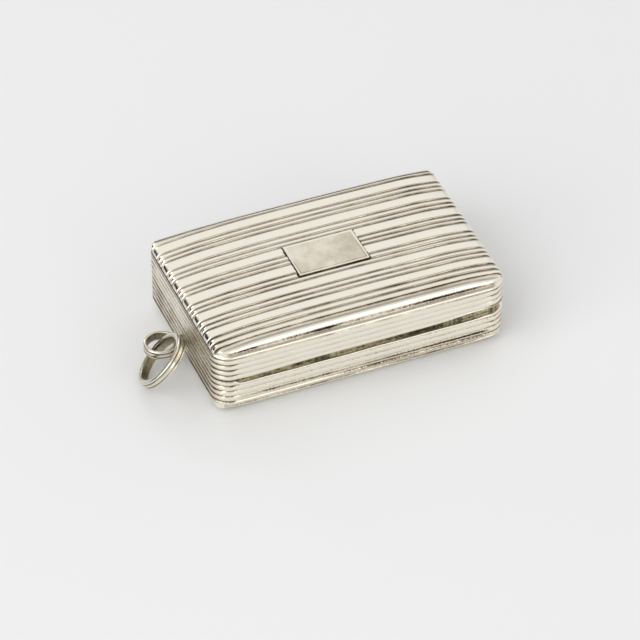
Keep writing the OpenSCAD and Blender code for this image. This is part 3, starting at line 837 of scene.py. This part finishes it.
# Bevel of the strip's inner edges, steps over one reed and round a ring, and the solder neck's size and place
STRIP_EDGE = 0.04
REED_STEPS, ROUND_STEPS = 10, 96
NECK = Vector((0.95, 1.0, 0.98))
NECK_X = -16.33


def strip_section(inner, thick, wide):
    """Closed section of the strip, flat inside with three rounded reeds outside: (radius, height, hollow).
    The hollow is tarnish in the grooves, and painted shade on the inner face.
    """
    half = wide / 2
    # The inner face is painted darker: painted shade inside the ring and the eye, over its tarnish
    lower = [(inner + STRIP_EDGE, -half, 0.15), (inner, STRIP_EDGE - half, 0.32), (inner, -half * 0.3, 0.38)]
    upper = [(r, -h, hollow) for r, h, hollow in reversed(lower)]
    points = lower + upper
    marks = [half, STRIP_GROOVE, -STRIP_GROOVE, -half]
    for i, (a, b) in enumerate(zip(marks, marks[1:])):
        for k in range(1 if i > 0 else 0, REED_STEPS + 1):
            t = k / REED_STEPS
            u = abs(2 * t - 1)
            # The strip's own edges are rounder than the reeds' sides, and hold no grime
            edge = (i == 0 and t < 0.5) or (i == 2 and t > 0.5)
            drop = 0.02 + (0.13 * u ** 2.6 if edge else 0.04 * u ** 2.4)
            points.append((inner + thick - drop, a + (b - a) * t, 0.0 if edge else 0.72 * u ** 3))
    return points


def spun_strip(name, section, centre, axis, side):
    """The strip's section spun once round an axis, with the hollow of each corner."""
    side = (side - axis * side.dot(axis)).normalized()
    piece = draw_loop(name, [(centre + side * r + axis * h) * MM for r, h, hollow in section])
    bpy.ops.mesh.spin(steps=ROUND_STEPS, angle=2 * math.pi, center=tuple(centre * MM), axis=tuple(axis))
    close_up(piece, 0.001)
    # Each corner takes the hollow of the nearest point of the section
    radii, heights, hollows = np.array(section).T
    values = []
    for v in piece.data.vertices:
        p = v.co / MM - centre
        h = p.dot(axis)
        r = (p - axis * h).length
        values.append(hollows[np.argmin((radii - r) ** 2 + (heights - h) ** 2)])
    keep_hollow(piece, values)
    return piece


def eye_band():
    """Short upright tube of reeded strip at the ring end."""
    section = strip_section(EYE_IN, EYE_T, EYE_W)
    piece = spun_strip("eye_band", section, EYE, Vector((0, 0, 1)), Vector((-1, 0, 0)))
    finish_piece(piece, "base", "dull_silver", ["suspension_eye"], handled_silver)


def jump_ring():
    """Ring of reeded strip that leans and passes through the eye."""
    flat = math.sin(RING_LEAN)
    axis = Vector((flat * math.cos(RING_TURN), flat * math.sin(RING_TURN), math.cos(RING_LEAN))).normalized()
    side = (Vector((0, 1, 0)) - axis * axis.y).normalized()
    centre = EYE + RING_PASS - side * (RING_IN + RING_T / 2)
    piece = spun_strip("jump_ring_reeded", strip_section(RING_IN, RING_T, RING_W), centre, axis, side)
    finish_piece(piece, "ring", "dull_silver", ["jump_ring"], handled_silver)


def eye_neck():
    """Solder neck between the eye and the end wall, flared at both ends."""
    piece = new_box("eye_neck", NECK, (NECK_X, 0, EYE.z))
    bpy.ops.mesh.subdivide(number_cuts=4)
    bpy.ops.object.mode_set(mode="OBJECT")
    for v in piece.data.vertices:
        # Drawn in at the middle, as solder flows
        t = (v.co.x / MM - NECK_X) / NECK.x + 0.5
        bend = math.sin(math.pi * min(1.0, max(0.0, t)))
        v.co.y *= 1 - 0.35 * bend
        v.co.z = EYE.z * MM + (v.co.z - EYE.z * MM) * (1 - 0.18 * bend)
    apply_modifier(piece, "SUBSURF", levels=1, render_levels=1)
    keep_hollow(piece, [0.55] * len(piece.data.vertices))
    finish_piece(piece, "base", "dull_silver", ["suspension_eye"], handled_silver)


eye_band()
jump_ring()
eye_neck()


# Sponge

SPONGE_SIZE, SPONGE_Z = (26.9, 15.3, 3.3), 2.85
SPONGE_EDGE = 0.5
SPONGE_VOXEL = 0.22
# Texture, its kind, the size of its grains, the depth it cuts, and the level that stays where it is
SPONGE_CUTS = [("sponge_pores", "VORONOI", 0.9, 0.5, 0.95), ("sponge_fibre", "CLOUDS", 0.5, 0.2, 0.6)]


def scent_sponge():
    """A cut block of sponge with soft edges, its faces roughened by pores and fibre."""
    piece = new_box("scent_sponge", SPONGE_SIZE, (0, 0, SPONGE_Z))
    bpy.ops.mesh.bevel(offset=SPONGE_EDGE * MM, segments=2)
    bpy.ops.object.mode_set(mode="OBJECT")
    apply_modifier(piece, "REMESH", mode="VOXEL", voxel_size=SPONGE_VOXEL * MM)
    for name, kind, size, depth, level in SPONGE_CUTS:
        texture = bpy.data.textures.new(name, kind)
        texture.noise_scale = size * MM
        apply_modifier(piece, "DISPLACE", texture=texture, texture_coords="LOCAL", strength=depth * MM,
                       mid_level=level)
    finish_piece(piece, "base", "sponge", ["sponge"], sponge_fibre)


scent_sponge()


# Materials of the CAD pieces that stay

STAYING = [
    (hinge_silver, ["base_knuckle_left", "base_knuckle_centre", "base_knuckle_right", "lid_knuckle_left",
                    "lid_knuckle_right", "lid_hinge_pin"]),
    (seam_gilt, ["base_bezel"]),
    (gilding, ["grille_ledge", "grille_lug_left", "grille_lug_right", "grille_pin", "grille_plate",
               "grille_knuckle", "grille_tab"]),
]
for material, names in STAYING:
    for name in names:
        nodes[name].data.materials.clear()
        nodes[name].data.materials.append(material)


# Floor, light and camera

def pale_floor():
    """Smooth pale card, large enough to fill the picture."""
    bpy.ops.object.select_all(action="DESELECT")
    bpy.ops.mesh.primitive_plane_add(size=3.0, location=(0, 0, 0))
    floor = bpy.context.object
    floor.name = "floor"
    material, tree, shader, place = new_material("card_smooth_pale")
    shader.inputs["Base Color"].default_value = srgb("#EBECED")
    shader.inputs["Roughness"].default_value = 0.4
    shader.inputs["Specular IOR Level"].default_value = 0.3
    floor.data.materials.append(material)


def studio_world():
    """Pale card all round, a little brighter behind, with three darker places."""
    world = bpy.data.worlds.new("studio")
    bpy.context.scene.world = world
    world.use_nodes = True
    tree = world.node_tree
    tree.nodes.clear()
    soft = {"interpolation_type": "SMOOTHSTEP"}
    fading = {"To Min": 1.0, "To Max": 0.0}
    towards = add(tree, "TexCoord").outputs["Generated"]
    axes = add(tree, "SeparateXYZ", {0: towards}).outputs
    rear = add(tree, "MapRange", {"Value": axes["Y"]}, {"From Min": -0.2, "From Max": 0.6})
    card = add(tree, "Mix", {"Factor": rear}, {COLOUR_A: srgb("#E6E6E5"), COLOUR_B: srgb("#EFEFEE")},
               data_type="RGBA").outputs[COLOUR_OUT]
    # Low down behind the box, but not to the right
    behind = add(tree, "MapRange", {"Value": axes["Y"]}, {"From Min": 0.35, "From Max": 0.8}, **soft)
    low = add(tree, "MapRange", {"Value": axes["Z"]}, {"From Min": 0.14, "From Max": 0.52, **fading}, **soft)
    behind = add(tree, "Math", {0: behind, 1: low}, operation="MULTIPLY")
    right = add(tree, "MapRange", {"Value": axes["X"]}, {"From Min": 0.5, "From Max": 0.75, **fading})
    behind = add(tree, "Math", {0: behind, 1: right}, operation="MULTIPLY")
    # Overhead, which gives the front roll its grey side
    above = add(tree, "VectorMath", {0: towards}, {1: (0.28, -0.17, 0.945)}, operation="DOT_PRODUCT")
    above = add(tree, "MapRange", {"Value": above.outputs["Value"]},
                {"From Min": 0.9, "From Max": 0.975}, **soft)
    # Behind the ring end, the darkest
    aside = add(tree, "VectorMath", {0: towards}, {1: (-0.76, 0.65, 0.0)}, operation="DOT_PRODUCT")
    aside = add(tree, "MapRange", {"Value": aside.outputs["Value"]},
                {"From Min": 0.68, "From Max": 0.9}, **soft)
    low = add(tree, "MapRange", {"Value": axes["Z"]}, {"From Min": 0.5, "From Max": 0.78, **fading}, **soft)
    aside = add(tree, "Math", {0: aside, 1: low}, operation="MULTIPLY")
    for mask, tone in ((behind, "#4A4744"), (above, "#A8A29E"), (aside, "#2B2A31")):
        card = add(tree, "Mix", {"Factor": mask, COLOUR_A: card}, {COLOUR_B: srgb(tone)},
                   data_type="RGBA").outputs[COLOUR_OUT]
    glow = add(tree, "Background", {"Color": card}, {"Strength": 1.09})
    add(tree, "OutputWorld", {"Surface": glow})


def soft_lamp(name, place, size, power, tint):
    """A square soft box that looks at the middle of the object."""
    light = bpy.data.lights.new(name, "AREA")
    light.shape = "SQUARE"
    light.size = size
    light.energy = power
    light.color = srgb(tint)[:3]
    lamp = bpy.data.objects.new(name, light)
    bpy.context.scene.collection.objects.link(lamp)
    spot = Vector(place)
    lamp.location = spot
    lamp.rotation_euler = (Vector((0, 0, 0.005)) - spot).to_track_quat("-Z", "Y").to_euler()


def photo_camera():
    """Camera at the photograph's angle, from the view that was fitted to it."""
    turn, rise, roll = (math.radians(v) for v in (-21.775, 40.377, 0.5))
    picture, sensor = 640, 36.0
    focal_px, middle_u, middle_v = 4500.0, 326.159, 286.639
    far = 463.5
    right = Vector((math.cos(turn), math.sin(turn), 0))
    back = Vector((math.sin(turn) * math.cos(rise), -math.cos(turn) * math.cos(rise), math.sin(rise)))
    up = back.cross(right)
    right, up = right * math.cos(roll) - up * math.sin(roll), right * math.sin(roll) + up * math.cos(roll)
    # The middle of the seam lies off the picture's centre
    aside = right * (middle_u - picture / 2) + up * (picture / 2 - middle_v)
    spot = (back * far - aside * (far / focal_px) + Vector((0, 0, SEAM))) * MM
    data = bpy.data.cameras.new("photo_camera")
    data.sensor_width = sensor
    data.lens = focal_px / picture * sensor
    data.clip_start = 0.01
    data.clip_end = 10.0
    camera = bpy.data.objects.new("photo_camera", data)
    bpy.context.scene.collection.objects.link(camera)
    camera.matrix_world = Matrix(((right.x, up.x, back.x, spot.x), (right.y, up.y, back.y, spot.y),
                                  (right.z, up.z, back.z, spot.z), (0, 0, 0, 1)))
    bpy.context.scene.camera = camera


pale_floor()
studio_world()
# Places and sizes of the lamps are in metres, their power in watts
soft_lamp("front_low", (0.224, -0.734, 0.26), 0.3, 0.36, "#FFF8EA")
soft_lamp("key_left", (-0.62, -0.25, 0.46), 0.8, 3.2, "#FFFFFF")
soft_lamp("back_drops", (-0.16, 0.74, 0.27), 0.16, 0.3, "#FFFFFF")
photo_camera()
bpy.context.scene.view_settings.view_transform = "Standard"
